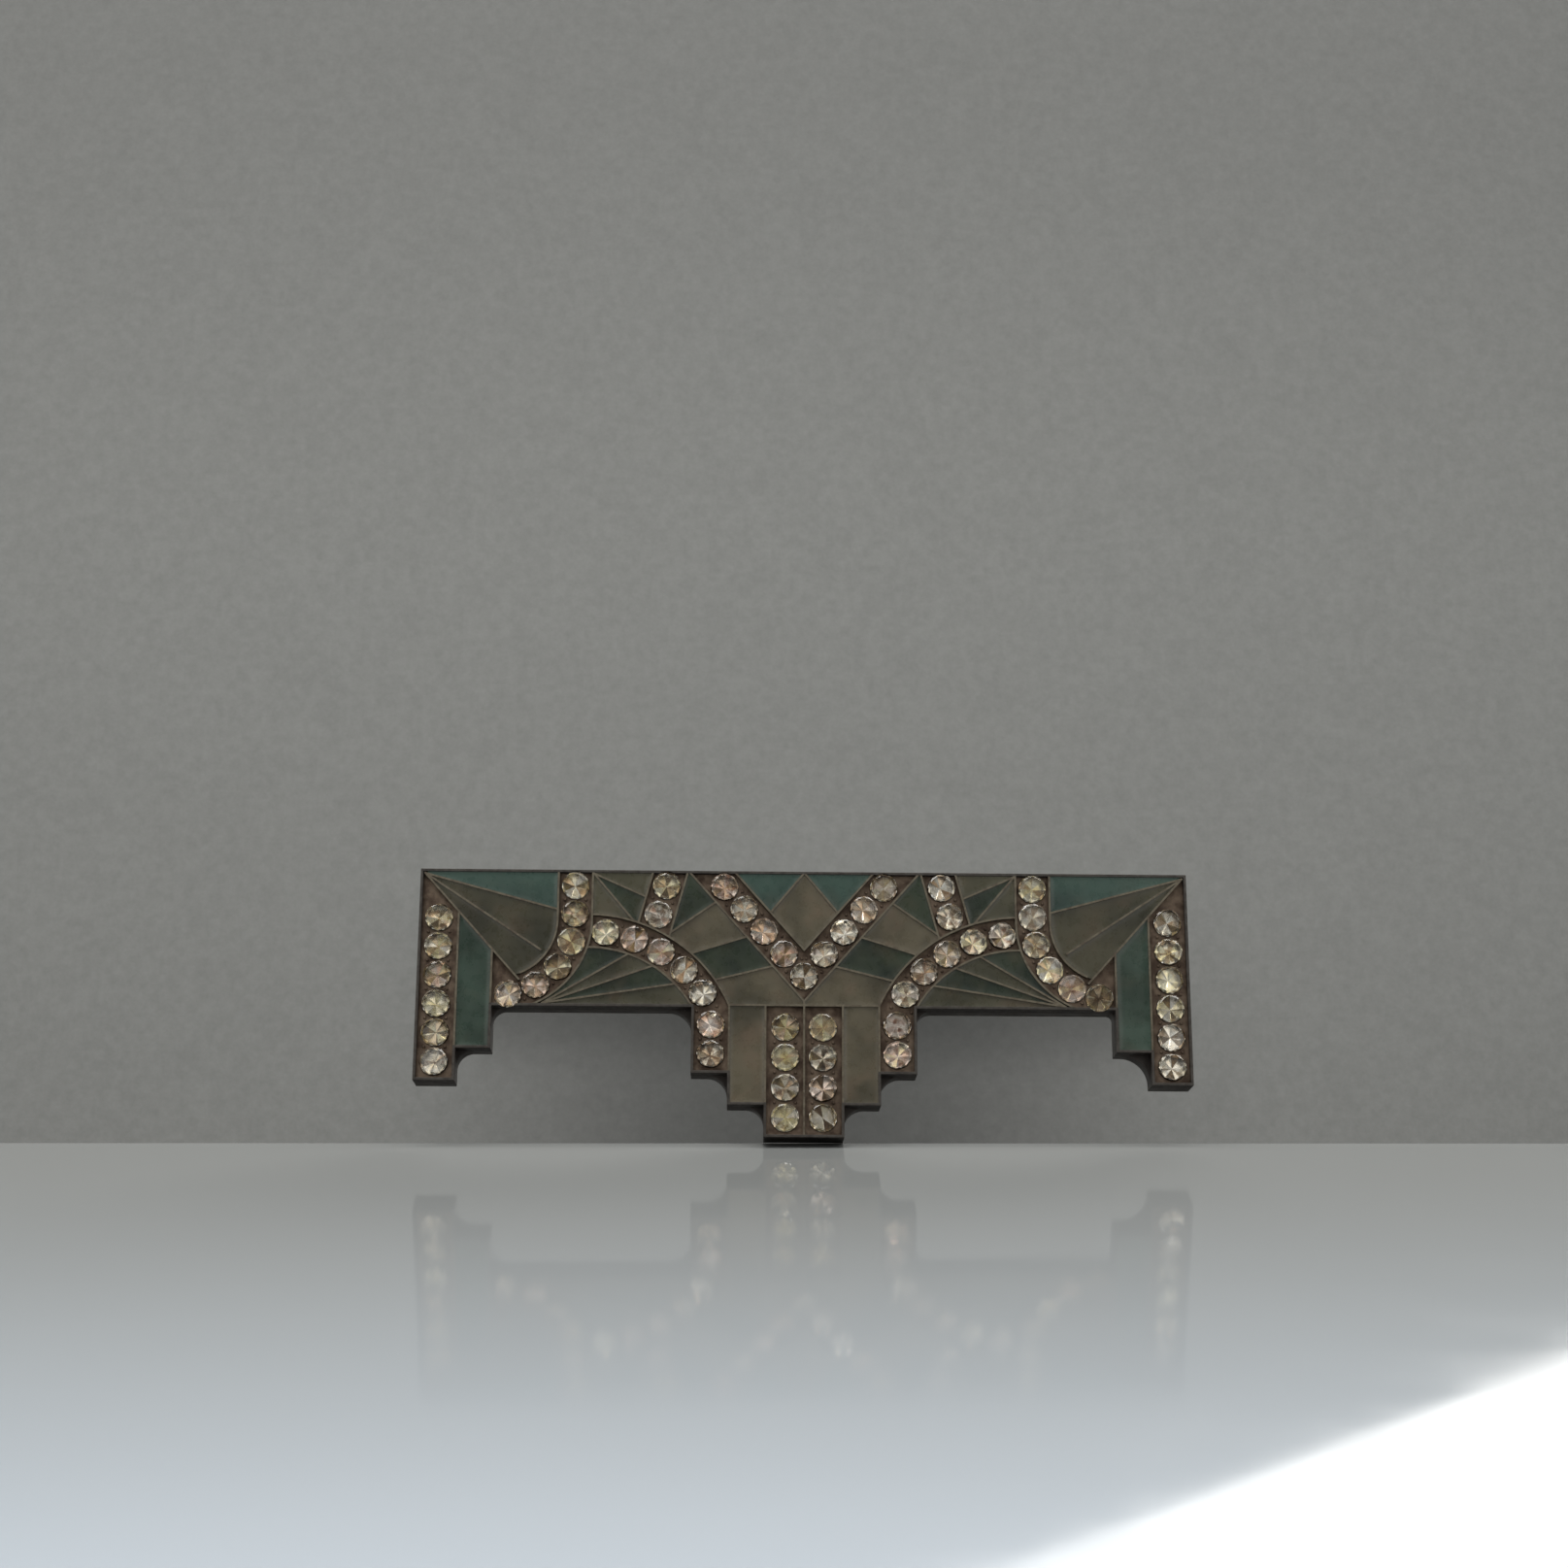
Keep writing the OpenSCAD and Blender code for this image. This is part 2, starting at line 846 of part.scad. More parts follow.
lower_green(-1);  // lower_green_left
lower_green(1);  // lower_green_right
inner_olive(-1);  // inner_olive_left
inner_olive(1);  // inner_olive_right
inner_green(-1);  // inner_green_left
inner_green(1);  // inner_green_right
top_teal(-1);  // top_teal_left
top_teal(1);  // top_teal_right
side_olive(-1);  // side_olive_left
side_olive(1);  // side_olive_right
kite_olive();
hinge_base();
hinge_rivet();
pin_stem();
catch_base();
safety_barrel();
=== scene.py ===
"""Looks of the bar brooch: tarnished plate, enamel cells with a meniscus, and foiled paste stones.

Named lengths are in millimetres and mm() turns them into Blender's metres. Coordinates taken from
meshes, and the places and sizes of the lights, are in metres.
The front of the brooch faces -Y, +Z is up and +X runs along the bar.
"""

import json
import random
from math import cos, pi, radians, sin

import bmesh
import bpy
import numpy as np
from mathutils import Euler, Matrix, Vector


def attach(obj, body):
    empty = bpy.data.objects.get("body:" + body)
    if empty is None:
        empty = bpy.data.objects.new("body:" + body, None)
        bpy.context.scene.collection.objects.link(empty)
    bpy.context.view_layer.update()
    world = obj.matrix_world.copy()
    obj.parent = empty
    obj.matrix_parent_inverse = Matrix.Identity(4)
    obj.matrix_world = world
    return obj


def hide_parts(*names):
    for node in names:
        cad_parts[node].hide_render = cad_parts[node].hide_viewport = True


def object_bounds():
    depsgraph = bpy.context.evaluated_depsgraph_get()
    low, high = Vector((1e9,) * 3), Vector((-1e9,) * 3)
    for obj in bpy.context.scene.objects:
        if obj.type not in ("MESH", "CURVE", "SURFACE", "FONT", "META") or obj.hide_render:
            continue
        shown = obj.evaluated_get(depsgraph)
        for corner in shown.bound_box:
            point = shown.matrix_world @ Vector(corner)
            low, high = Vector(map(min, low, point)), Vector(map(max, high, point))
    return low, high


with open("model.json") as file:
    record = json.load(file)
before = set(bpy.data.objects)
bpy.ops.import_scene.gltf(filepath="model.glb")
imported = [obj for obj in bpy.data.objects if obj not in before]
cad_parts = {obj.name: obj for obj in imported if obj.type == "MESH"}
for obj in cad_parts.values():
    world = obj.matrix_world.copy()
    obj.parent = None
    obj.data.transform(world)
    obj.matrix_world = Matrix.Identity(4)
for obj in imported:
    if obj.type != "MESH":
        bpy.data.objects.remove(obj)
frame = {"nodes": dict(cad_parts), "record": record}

cad_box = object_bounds()
NODES = frame["nodes"]
BODY_OF = {n: b for b, group in frame["record"]["behaviour"]["bodies"].items() for n in group}
SLOT_OF = {s["node"]: s["material_slot"] for s in frame["record"]["subparts"]}
SEED = 7
# Cells whose enamel is drawn in another colour than that of their slot.
TINT_OF = {
    "leg_green": "leg_green",
    "corner_olive": "deep_olive",
    "inner_olive": "pale_olive",
    "side_olive": "pale_olive",
    "kite_olive": "pale_olive",
}


def mm(length):
    return length / 1000


# --- camera ---

LENS_MM = 64.0
# The camera's distance and direction from a point on the front, in degrees around and above it, and
# how far it then looks up, to the right and rolled.
CAMERA_DISTANCE = 230.7
CAMERA_AZIMUTH = -1.57
CAMERA_ELEVATION = -12.21
LOOK_UP = 16.7
LOOK_RIGHT = 1.13
ROLL = 0.21
# The height of that point and the depth of the brooch's front.
AIM_HEIGHT = -6.7
FRONT = -2.9


def make_camera():
    data = bpy.data.cameras.new("camera")
    data.lens = LENS_MM
    data.sensor_width = 36
    data.clip_start = 0.005
    data.clip_end = 10
    camera = bpy.data.objects.new("camera", data)
    bpy.context.scene.collection.objects.link(camera)
    around, above = radians(CAMERA_AZIMUTH), radians(CAMERA_ELEVATION)
    away = Vector((sin(around) * cos(above), -cos(around) * cos(above), sin(above)))
    camera.location = Vector((0, mm(FRONT), mm(AIM_HEIGHT))) + mm(CAMERA_DISTANCE) * away
    looking = Euler((radians(90 + LOOK_UP), 0, radians(-LOOK_RIGHT))).to_matrix().to_4x4()
    turned = looking @ Matrix.Rotation(radians(ROLL), 4, "Z")
    camera.rotation_euler = turned.to_euler()
    bpy.context.scene.camera = camera


# --- materials: patterns have their sizes and depths in millimetres ---

# A Mix node in colour mode: its two colours and its result by their places.
MIX_FIRST, MIX_SECOND, MIX_RESULT = 6, 7, 2


class Paint:
    """A material being built: short calls that add nodes and links to it."""

    def __init__(self, name):
        self.material = bpy.data.materials.new(name)
        self.material.use_nodes = True
        self.tree = self.material.node_tree
        self.shader = self.tree.nodes["Principled BSDF"]
        self.place = self.tree.nodes.new("ShaderNodeTexCoord").outputs["Object"]

    def join(self, value, socket):
        """Links a node's output to a socket, or sets the socket to a plain value."""
        if isinstance(value, bpy.types.NodeSocket):
            self.tree.links.new(value, socket)
        else:
            socket.default_value = value

    def axis(self, letter):
        """One coordinate of the point being shaded, in metres."""
        node = self.tree.nodes.new("ShaderNodeSeparateXYZ")
        self.tree.links.new(self.place, node.inputs[0])
        return node.outputs[letter]

    def noise(self, size_mm, detail=3.0, roughness=0.55):
        """Noise from about 0 to 1, with features of a size."""
        node = self.tree.nodes.new("ShaderNodeTexNoise")
        node.inputs["Scale"].default_value = 1000 / size_mm
        node.inputs["Detail"].default_value = detail
        node.inputs["Roughness"].default_value = roughness
        self.tree.links.new(self.place, node.inputs["Vector"])
        return node.outputs["Fac"]

    def span(self, value, from_low, from_high, to_low=0.0, to_high=1.0):
        """Maps one range to another, held at its ends."""
        node = self.tree.nodes.new("ShaderNodeMapRange")
        node.interpolation_type = "SMOOTHSTEP"
        for socket, amount in zip(node.inputs, (value, from_low, from_high, to_low, to_high)):
            self.join(amount, socket)
        return node.outputs["Result"]

    def math(self, operation, a, b):
        """A sum, product or the like of two values."""
        node = self.tree.nodes.new("ShaderNodeMath")
        node.operation = operation
        self.join(a, node.inputs[0])
        self.join(b, node.inputs[1])
        return node.outputs[0]

    def mix(self, share, a, b):
        """Blend of two colours."""
        node = self.tree.nodes.new("ShaderNodeMix")
        node.data_type = "RGBA"
        self.join(share, node.inputs["Factor"])
        self.join(a, node.inputs[MIX_FIRST])
        self.join(b, node.inputs[MIX_SECOND])
        return node.outputs[MIX_RESULT]

    def bump(self, height, depth_mm, strength=1.0):
        """Bends the surface by a pattern of a depth."""
        node = self.tree.nodes.new("ShaderNodeBump")
        node.inputs["Strength"].default_value = strength
        node.inputs["Distance"].default_value = mm(depth_mm)
        self.tree.links.new(height, node.inputs["Height"])
        self.tree.links.new(node.outputs["Normal"], self.shader.inputs["Normal"])

    def set(self, **inputs):
        """Fills sockets of the surface shader, named with _ for each space."""
        for name, value in inputs.items():
            self.join(value, self.shader.inputs[name.replace("_", " ")])


def rgb(r, g, b):
    return (r, g, b, 1.0)


def tarnished(name, dark, light, worn, rough, metallic=0.6, wear=(-2.7, -2.88), grain=0.45, least=0.3):
    """Old plated metal: brown in the hollows, paler and smoother where it is rubbed.

    wear holds the depths between which it turns from hollow to rubbed, grain the size of the rubbed
    patches and least how much the metal between them is rubbed.
    """
    paint = Paint(name)
    patches = paint.span(paint.noise(2.2, 5.0), 0.32, 0.68)
    fine = paint.noise(grain, 4.0, 0.6)
    ground = paint.mix(patches, dark, light)
    height = paint.span(paint.axis("Y"), mm(wear[0]), mm(wear[1]))
    rubbed = paint.math("MULTIPLY", height, paint.span(fine, 0.35, 0.65, least, 1.0))
    paint.set(
        Base_Color=paint.mix(rubbed, ground, worn),
        Metallic=metallic,
        Roughness=paint.span(fine, 0.25, 0.75, rough + 0.1, rough - 0.08),
    )
    paint.bump(paint.noise(0.22, 5.0, 0.65), 0.012, 0.6)
    return paint.material


def bed_brown():
    """Dull stained metal of the sunk beds."""
    paint = Paint("bed_brown")
    stain = paint.span(paint.noise(0.9, 5.0), 0.3, 0.7)
    paint.set(
        Base_Color=paint.mix(stain, rgb(0.060, 0.038, 0.026), rgb(0.170, 0.125, 0.090)),
        Metallic=0.7,
        Roughness=paint.span(paint.noise(0.25), 0.3, 0.7, 0.62, 0.42),
    )
    paint.bump(paint.noise(0.16, 5.0, 0.7), 0.02, 0.8)
    return paint.material


# Heights between which a painted highlight makes the enamel lighter towards its top, and how much paler
# it is there than elsewhere.
PAINTED_HIGHLIGHT_FROM, PAINTED_HIGHLIGHT_TO = 1.5, 4.3
PAINTED_HIGHLIGHT_GAIN = 1.9


def enamel(name, deep, pale, brown, painted_top_highlight):
    """Glossy vitreous enamel, clouded in the mass, browned in places, and paler towards its top with a
    painted highlight.
    """
    paint = Paint(name)
    cloud = paint.span(paint.noise(3.6, 3.0, 0.5), 0.3, 0.7)
    body = paint.mix(cloud, deep, pale)
    stain = paint.span(paint.noise(2.8, 2.5, 0.5), 0.46, 0.78, 0.0, 0.6)
    stained = paint.mix(stain, body, brown)
    # Painted highlight: the colour turns paler towards the enamel's top.
    painted_highlight_share = paint.span(paint.axis("Z"), mm(PAINTED_HIGHLIGHT_FROM), mm(PAINTED_HIGHLIGHT_TO), 0.0, painted_top_highlight)
    painted_highlight_colour = rgb(*(PAINTED_HIGHLIGHT_GAIN * c for c in pale[:3]))
    grain = paint.noise(0.6, 3.0, 0.6)
    paint.set(
        Base_Color=paint.mix(painted_highlight_share, stained, painted_highlight_colour),
        Roughness=paint.span(grain, 0.3, 0.7, 0.24, 0.36),
        Coat_Weight=0.25,
        Coat_Roughness=0.2,
    )
    paint.bump(paint.noise(0.9, 2.0), 0.02, 0.3)
    return paint.material


def foil(name, bright, stain, lost):
    """Mirror foil on the back of a paste stone, stained in places and browned where it has gone."""
    paint = Paint(name)
    stained = paint.mix(paint.span(paint.noise(1.1, 3.0), 0.42, 0.66), bright, stain)
    gone = paint.span(paint.noise(1.4, 4.0, 0.6), 0.56, 0.68)
    paint.set(
        Base_Color=paint.mix(gone, stained, lost),
        Metallic=1.0,
        Roughness=paint.span(paint.noise(0.3), 0.3, 0.7, 0.13, 0.22),
    )
    paint.bump(paint.noise(0.2, 2.0), 0.002, 0.2)
    return paint.material


def paste_glass():
    """Clear old glass with a little haze."""
    paint = Paint("paste_glass")
    haze = paint.span(paint.noise(0.35, 4.0), 0.45, 0.8)
    paint.set(
        Base_Color=paint.mix(haze, rgb(0.98, 0.97, 0.94), rgb(0.90, 0.87, 0.78)),
        Transmission_Weight=1.0,
        IOR=1.6,
        Roughness=paint.span(haze, 0.0, 1.0, 0.0, 0.05),
    )
    paint.bump(paint.noise(0.3, 2.0), 0.001, 0.15)
    return paint.material


def metals():
    """Metals by the slot or the node that they are for."""
    return {
        "rim": tarnished(
            "rim_silver",
            dark=rgb(0.027, 0.022, 0.020),
            light=rgb(0.053, 0.044, 0.038),
            worn=rgb(0.074, 0.067, 0.059),
            rough=0.52,
        ),
        "plate_metal": tarnished(
            "plate_silver",
            dark=rgb(0.028, 0.022, 0.019),
            light=rgb(0.051, 0.042, 0.036),
            worn=rgb(0.42, 0.395, 0.355),
            rough=0.45,
            metallic=0.35,
            wear=(-0.25, -0.02),
            grain=2.4,
            least=0.65,
        ),
        "wall_metal": tarnished(
            "wall_silver",
            dark=rgb(0.064, 0.044, 0.032),
            light=rgb(0.105, 0.090, 0.062),
            worn=rgb(0.17, 0.148, 0.108),
            rough=0.5,
        ),
        "finding_steel": tarnished(
            "finding_steel",
            dark=rgb(0.30, 0.285, 0.26),
            light=rgb(0.50, 0.485, 0.45),
            worn=rgb(0.6, 0.58, 0.53),
            rough=0.34,
            metallic=1.0,
        ),
        "solder": tarnished(
            "solder_grey",
            dark=rgb(0.10, 0.095, 0.088),
            light=rgb(0.22, 0.215, 0.205),
            worn=rgb(0.34, 0.335, 0.32),
            rough=0.42,
            metallic=0.9,
            wear=(0.0, 0.25),
        ),
        "bed_metal": bed_brown(),
    }


def enamels():
    """Enamels by the slot or the cell that they are for."""
    return {
        "enamel_teal": enamel(
            "enamel_teal",
            deep=rgb(0.010, 0.026, 0.021),
            pale=rgb(0.036, 0.066, 0.052),
            brown=rgb(0.050, 0.050, 0.034),
            painted_top_highlight=0.5,
        ),
        "enamel_green": enamel(
            "enamel_green",
            deep=rgb(0.007, 0.014, 0.008),
            pale=rgb(0.028, 0.039, 0.021),
            brown=rgb(0.048, 0.040, 0.019),
            painted_top_highlight=0.3,
        ),
        "leg_green": enamel(
            "enamel_leg_green",
            deep=rgb(0.012, 0.028, 0.017),
            pale=rgb(0.040, 0.070, 0.051),
            brown=rgb(0.042, 0.048, 0.028),
            painted_top_highlight=0.0,
        ),
        "enamel_olive": enamel(
            "enamel_olive",
            deep=rgb(0.032, 0.031, 0.016),
            pale=rgb(0.075, 0.069, 0.042),
            brown=rgb(0.094, 0.066, 0.040),
            painted_top_highlight=0.3,
        ),
        "deep_olive": enamel(
            "enamel_deep_olive",
            deep=rgb(0.024, 0.023, 0.011),
            pale=rgb(0.058, 0.053, 0.030),
            brown=rgb(0.074, 0.052, 0.030),
            painted_top_highlight=0.2,
        ),
        "pale_olive": enamel(
            "enamel_pale_olive",
            deep=rgb(0.054, 0.047, 0.028),
            pale=rgb(0.118, 0.100, 0.064),
            brown=rgb(0.142, 0.098, 0.064),
            painted_top_highlight=0.15,
        ),
    }


def foil_kinds():
    """The foils, in the order of FOILS."""
    return [
        foil("foil_silver", rgb(1.0, 0.98, 0.94), rgb(0.94, 0.88, 0.76), rgb(0.44, 0.34, 0.26)),
        foil("foil_straw", rgb(1.0, 0.97, 0.84), rgb(0.93, 0.85, 0.58), rgb(0.46, 0.34, 0.18)),
        foil("foil_rose", rgb(0.98, 0.91, 0.87), rgb(0.93, 0.74, 0.62), rgb(0.50, 0.31, 0.22)),
        foil("foil_tan", rgb(0.70, 0.60, 0.48), rgb(0.62, 0.46, 0.33), rgb(0.28, 0.18, 0.12)),
        foil("foil_lost", rgb(0.26, 0.19, 0.13), rgb(0.36, 0.29, 0.15), rgb(0.13, 0.085, 0.055)),
    ]


def make_materials():
    return {**metals(), **enamels(), "glass": paste_glass(), "foils": foil_kinds()}


# --- meshes ---


def new_piece(name, bm, materials, body, node=None):
    """Finishes a mesh as a piece that rides on a body, with the materials given, and hides the node, if
    any, that it stands for.
    """
    mesh = bpy.data.meshes.new(name)
    bmesh.ops.recalc_face_normals(bm, faces=bm.faces)
    bm.to_mesh(mesh)
    bm.free()
    for material in materials:
        mesh.materials.append(material)
    piece = bpy.data.objects.new(name, mesh)
    bpy.context.scene.collection.objects.link(piece)
    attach(piece, body)
    if node:
        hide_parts(node)


# Corners closer than this are one corner, and faces closer in angle than this are one face.
SAME_PLACE = 0.002
SAME_PLANE_DEG = 0.6


def cad_copy(node):
    """The node's mesh with its split corners joined and its flat faces made whole."""
    bm = bmesh.new()
    bm.from_mesh(NODES[node].data)
    bmesh.ops.remove_doubles(bm, verts=bm.verts, dist=mm(SAME_PLACE))
    bmesh.ops.dissolve_limit(bm, angle_limit=radians(SAME_PLANE_DEG), verts=bm.verts, edges=bm.edges)
    return bm


def islands(node):
    """Lowest and highest corners of each separate solid in a node."""
    bm = cad_copy(node)
    left = set(bm.verts)
    found = []
    while left:
        reach = [left.pop()]
        for v in reach:
            for e in v.link_edges:
                other = e.other_vert(v)
                if other in left:
                    left.remove(other)
                    reach.append(other)
        points = np.array([v.co for v in reach])
        found.append((Vector(points.min(0)), Vector(points.max(0))))
    bm.free()
    return sorted(found, key=lambda ends: tuple(round(c, 5) for c in ends[0]))


# --- metal ---

EDGE_ROUND = {"back_plate": 0.12, "rim": 0.07}
WALL_ROUND = 0.05
ROUND_STEPS = 3
# Edges that turn by less than this stay sharp, so curves keep their facets.
ROUND_FROM_DEG = 35


def soften(node, width):
    """Rounds the edges of a CAD node with modifiers, leaving its own mesh alone."""
    piece = NODES[node]
    weld = piece.modifiers.new("weld", "WELD")
    weld.merge_threshold = mm(SAME_PLACE)
    flat = piece.modifiers.new("flat", "DECIMATE")
    flat.decimate_type = "DISSOLVE"
    flat.angle_limit = radians(SAME_PLANE_DEG)
    edge = piece.modifiers.new("edge", "BEVEL")
    edge.width = mm(width)
    edge.segments = ROUND_STEPS
    edge.limit_method = "ANGLE"
    edge.angle_limit = radians(ROUND_FROM_DEG)


def finish_cad_nodes(materials):
    """Gives the shown metal nodes their material, slot and rounded edges."""
    for node, slot in SLOT_OF.items():
        if slot not in ("plate_metal", "wall_metal", "bed_metal", "finding_steel"):
            continue
        piece = NODES[node]
        piece.data.materials.clear()
        piece.data.materials.append(materials.get(node, materials[slot]))
        if slot != "bed_metal":
            soften(node, EDGE_ROUND.get(node, WALL_ROUND))


# How far the bead reaches along the plate and how high it climbs the base.
SOLDER_OUT = 0.38
SOLDER_UP = 0.3
SOLDER_STEPS = 72
# Steps from one drawn width of the bead to the next, and between which shares the width is drawn.
SOLDER_RUN = 4
SOLDER_UNEVEN = (0.7, 1.1)
# Power of the rounded square that the bead follows.
SOLDER_SQUARE = 9
# The bead's section as shares of its reach along the plate and of its height.
SOLDER_SECTION = ((1.0, -0.05), (0.55, 0.16), (0.25, 0.5), (0.0, 1.0), (-0.2, -0.05))


def run_solder(node, material, chance):
    """An uneven bead of solder around the square base of a finding."""
    low, high = islands(node)[0]
    middle = (low + high) / 2
    half = (high.x - low.x) / 2
    bm = bmesh.new()
    spread = [chance.uniform(*SOLDER_UNEVEN) for _ in range(SOLDER_STEPS // SOLDER_RUN)]
    rings = []
    for k in range(SOLDER_STEPS):
        angle = 2 * pi * k / SOLDER_STEPS
        part, share = divmod(k, SOLDER_RUN)
        reach = spread[part] + (spread[(part + 1) % len(spread)] - spread[part]) * share / SOLDER_RUN
        across, along = abs(cos(angle)) ** SOLDER_SQUARE, abs(sin(angle)) ** SOLDER_SQUARE
        square = half / (across + along) ** (1 / SOLDER_SQUARE)
        ring = []
        for out, up in SOLDER_SECTION:
            far = square + mm(SOLDER_OUT) * out * reach
            spot = (middle.x + far * cos(angle), mm(SOLDER_UP) * up * reach, far * sin(angle))
            ring.append(bm.verts.new(spot))
        rings.append(ring)
    for a, b in zip(rings, rings[1:] + rings[:1]):
        for i in range(len(SOLDER_SECTION)):
            after = (i + 1) % len(SOLDER_SECTION)
            bm.faces.new((a[i], a[after], b[after], b[i])).smooth = True
    new_piece(node + "_solder", bm, [material], "setting")


# --- enamel ---

# How high the enamel climbs its walls, over what width and with what fall, and how deep it settles.
CREEP = 0.03
CREEP_WIDTH = 0.18
CREEP_FALL = 1.5
SETTLE = 0.015
# Spacing of the lines that cut the enamel's surface into small faces.
GRID = 0.13
# How squarely a face of the front looks forward, and how far behind the frontmost it may lie.
FACING = -0.99
TOP_SLACK = 0.05


def cell_top(node):
    """The front face of a cell, its border as pairs of points, and the depth of its floor."""
    bm = cad_copy(node)
    floor = max(v.co.y for v in bm.verts)
    top = min(v.co.y for v in bm.verts)
    rest = [f for f in bm.faces if f.normal.y > FACING or f.calc_center_median().y > top + mm(TOP_SLACK)]
    bmesh.ops.delete(bm, geom=rest, context="FACES")
    border = np.array([[tuple(v.co) for v in e.verts] for e in bm.edges if e.is_boundary])
    return bm, border, floor


def distance_to(border, points):
    """Shortest distance from each point to the pieces of a border."""
    start, run = border[:, 0], border[:, 1] - border[:, 0]
    reach = points[:, None, :] - start[None]
    share = (reach * run).sum(2) / (run**2).sum(1)
    gap = reach - share.clip(0, 1)[:, :, None] * run
    return np.sqrt((gap**2).sum(2)).min(1)


def cut_grid(bm, step):
    """Cuts the faces by lines across X and Z, a step apart."""
    corners = np.array([v.co for v in bm.verts])
    for axis in (0, 2):
        normal = Vector([float(k == axis) for k in range(3)])
        for place in np.arange(corners[:, axis].min() + step, corners[:, axis].max(), step):
            bmesh.ops.bisect_plane(
                bm, geom=bm.verts[:] + bm.edges[:] + bm.faces[:], plane_co=normal * place, plane_no=normal
            )


def pour_enamel(node, material):
    """Enamel that climbs the walls around it and settles a little in the middle."""
    bm, border, floor = cell_top(node)
    cut_grid(bm, mm(GRID))
    away = distance_to(border, np.array([v.co for v in bm.verts]))
    for vert, gap in zip(bm.verts, away):
        climb = np.exp(-((gap / mm(CREEP_WIDTH)) ** CREEP_FALL))
        vert.co.y += mm(SETTLE) - (mm(CREEP) + mm(SETTLE)) * float(climb)
    for face in bm.faces:
        face.smooth = True
    edge = [e for e in bm.edges if e.is_boundary]
    skirt = bmesh.ops.extrude_edge_only(bm, edges=edge)["geom"]
    for part in skirt:
        if isinstance(part, bmesh.types.BMVert):
            part.co.y = floor
        elif isinstance(part, bmesh.types.BMFace):
            part.smooth = False
    bmesh.ops.holes_fill(bm, edges=[e for e in bm.edges if e.is_boundary], sides=0)
    new_piece(node + "_poured", bm, [material], BODY_OF[node], node)


# --- paste stones ---

# Main facets of a stone and wedges of its pavilion.
MAINS = 8
# Heights of the crown and of the girdle below it.
CROWN = 0.2
GIRDLE = 0.04
# Radii of the table and of the tips of the star as shares of the stone's, and the tips' height as a
# share of the crown's.
TABLE = 0.86
STAR = 0.93
STAR_RISE = 0.6
# How far a stone may lean in its seat, either way.
TILT_DEG = 7
FOILS = ("silver", "straw", "rose", "tan", "lost")
# How often a stone is mostly of each foil, and how often one of its wedges is of another. Those other
# wedges, the darker tan and lost ones most, are partly unevenly aged foil and partly a painted
# reflection.
STONE_ODDS = {"silver": 4, "straw": 5, "rose": 3}
WEDGE_ODDS_WITH_PAINTED_REFLECTION = {"own": 10, "silver": 3, "straw": 1, "rose": 1, "tan": 4, "lost": 1}
# Share of the radius where the foil ends and its browned border starts.
MIRROR_REACH = (0.84, 0.98)


def ring_of(bm, place, radius, height, turn, count):
    """Points on a circle around a stone's axis, as verts."""
    ring = []
    for k in range(count):
        angle = 2 * pi * k / count + turn
        ring.append(bm.verts.new(place @ Vector((radius * cos(angle), -height, radius * sin(angle)))))
    return ring


def cut_crown(bm, table, star, upper):
    """The stone's glass above the girdle."""
    bm.faces.new(table)
    for k in range(MAINS):
        after = (k + 1) % MAINS
        left, middle, right = upper[2 * k], upper[2 * k + 1], upper[2 * after]
        bm.faces.new((table[k - 1], table[k], star[k]))
        bm.faces.new((star[k], table[k], star[after]))
        bm.faces.new((star[k], star[after], middle))
        bm.faces.new((star[k], middle, left))
        bm.faces.new((star[after], right, middle))


def cut_pavilion(bm, lower, culet, reach, foils):
    """The eight foiled wedges, each with its browned border beyond a share of the radius."""
    lost = 1 + FOILS.index("lost")
    inner = [bm.verts.new(culet.co.lerp(v.co, reach)) for v in lower[::2]]
    for k in range(MAINS):
        after = (k + 1) % MAINS
        left, middle, right = lower[2 * k], lower[2 * k + 1], lower[2 * after]
        middle.co = (left.co + right.co) / 2
        bm.faces.new((inner[k], inner[after], culet)).material_index = foils[k]
        bm.faces.new((left, middle, right, inner[after], inner[k])).material_index = lost


def cut_stone(bm, low, high, place, chance):
    """A round stone on foil: glass crown, mirror pavilion. Heights are from its culet."""
    radius = (high.x - low.x) / 2
    height = high.y - low.y
    girdle = height - mm(CROWN)
    half = pi / MAINS
    turn = chance.uniform(0, 2 * half)
    table = ring_of(bm, place, radius * TABLE, height, turn + half, MAINS)
    star = ring_of(bm, place, radius * STAR, girdle + mm(CROWN) * STAR_RISE, turn, MAINS)
    upper = ring_of(bm, place, radius, girdle, turn, 2 * MAINS)
    lower = ring_of(bm, place, radius, girdle - mm(GIRDLE), turn, 2 * MAINS)
    culet = bm.verts.new(place @ Vector((0, 0, 0)))
    cut_crown(bm, table, star, upper)
    for k in range(2 * MAINS):
        after = (k + 1) % (2 * MAINS)
        bm.faces.new((upper[k], upper[after], lower[after], lower[k]))
    own = chance.choices(list(STONE_ODDS), list(STONE_ODDS.values()))[0]
    # Wedges of another foil stand partly for unevenly aged foil and partly for a painted reflection of
    # bright and dark surroundings.
    picks = chance.choices(list(WEDGE_ODDS_WITH_PAINTED_REFLECTION), list(WEDGE_ODDS_WITH_PAINTED_REFLECTION.values()), k=MAINS)
    foils = [1 + FOILS.index(own if pick == "own" else pick) for pick in picks]
    cut_pavilion(bm, lower, culet, chance.uniform(*MIRROR_REACH), foils)


